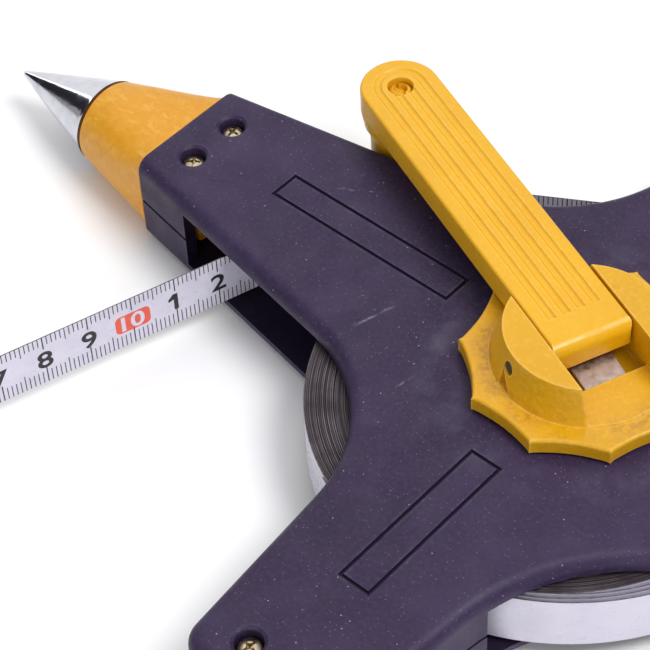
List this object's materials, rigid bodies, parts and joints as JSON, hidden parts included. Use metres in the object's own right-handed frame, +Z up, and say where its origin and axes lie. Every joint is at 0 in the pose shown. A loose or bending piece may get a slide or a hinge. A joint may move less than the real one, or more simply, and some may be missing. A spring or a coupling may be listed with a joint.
{
  "type": "open reel tape measure",
  "caption": "Open-reel long tape measure: cross-shaped frame with a ground spike, folding crank and grip, steel tape with an end ring.",
  "frame": {"origin": "on the reel's axis, on the flat underside of the lower frame shell", "axes": "+Z up along the reel's axis towards the crank; -X along the nose arm towards the ground spike"},
  "size_m": [0.2548, 0.2566, 0.0345],
  "materials": {
    "frame_plastic": "fine-textured navy purple moulded plastic, lightly scuffed",
    "yellow_plastic": "satin orange yellow moulded plastic",
    "drum_plastic": "dark moulded plastic",
    "nylon": "off-white nylon",
    "tape_steel": "pale lacquered steel tape with black and red print",
    "spike_chrome": "bright chrome",
    "screw_steel": "zinc passivated steel with a faint brassy tint",
    "plain_steel": "plain steel",
    "rivet_brass": "dull brass"
  },
  "bodies": {
    "frame": {"lower_frame_shell": "frame_plastic", "upper_frame_shell": "frame_plastic", "frame_screw_1": "screw_steel", "frame_screw_2": "screw_steel", "frame_screw_3": "screw_steel", "frame_screw_4": "screw_steel", "frame_screw_5": "screw_steel", "frame_screw_6": "screw_steel", "frame_screw_7": "screw_steel", "frame_screw_8": "screw_steel", "nose_insert": "yellow_plastic", "ground_spike": "spike_chrome", "spike_nut": "plain_steel", "guide_roller_pin": "plain_steel", "guide_post": "yellow_plastic", "lower_thrust_washer": "nylon", "upper_thrust_washer": "nylon", "tape_lead": "tape_steel"},
    "reel": {"reel_drum": "drum_plastic", "tape_anchor_key": "plain_steel", "tape_pack": "tape_steel", "tape_outer_wrap": "tape_steel", "hub_screw": "plain_steel", "hub_disc": "yellow_plastic", "leaf_spring": "plain_steel", "crank_pin": "plain_steel"},
    "crank": {"crank_arm": "yellow_plastic"},
    "grip": {"crank_grip": "yellow_plastic"},
    "tape": {"tape_blade": "tape_steel", "tape_end_clip": "plain_steel", "tape_end_rivet": "rivet_brass"},
    "end_ring": {"tape_end_ring": "plain_steel"},
    "roller": {"guide_roller": "nylon"}
  },
  "joints": [
    {"name": "reel_spin", "type": "hinge", "parent": "frame", "child": "reel", "pos_m": [0, 0, 0.01125], "axis": [0, 0, 1], "range_deg": [-45, 0]},
    {"name": "crank_fold", "type": "hinge", "parent": "reel", "child": "crank", "pos_m": [0, 0, 0.03125], "axis": [0.3746, 0.9272, 0], "range_deg": [0, 180]},
    {"name": "grip_spin", "type": "hinge", "parent": "crank", "child": "grip", "pos_m": [-0.07139, 0.02884, 0.015], "axis": [0, 0, 1], "continuous": true},
    {"name": "tape_slide", "type": "slide", "parent": "frame", "child": "tape", "axis": [-0.3024, -0.9532, 0], "range_m": [-0.04, 0]},
    {"name": "end_ring_swing", "type": "hinge", "parent": "tape", "child": "end_ring", "pos_m": [-0.11539, -0.13954, 0.01125], "axis": [0, 0, 1], "range_deg": [-100, 100]},
    {"name": "roller_spin", "type": "hinge", "parent": "frame", "child": "roller", "pos_m": [-0.0595, 0.01666, 0.01125], "axis": [0, 0, 1], "range_deg": [-460, 0]}
  ],
  "couplings": [
    {"joint": "tape_slide", "follows": "reel_spin", "m_per_rad": 0.05},
    {"joint": "roller_spin", "follows": "reel_spin", "ratio": 10}
  ]
}
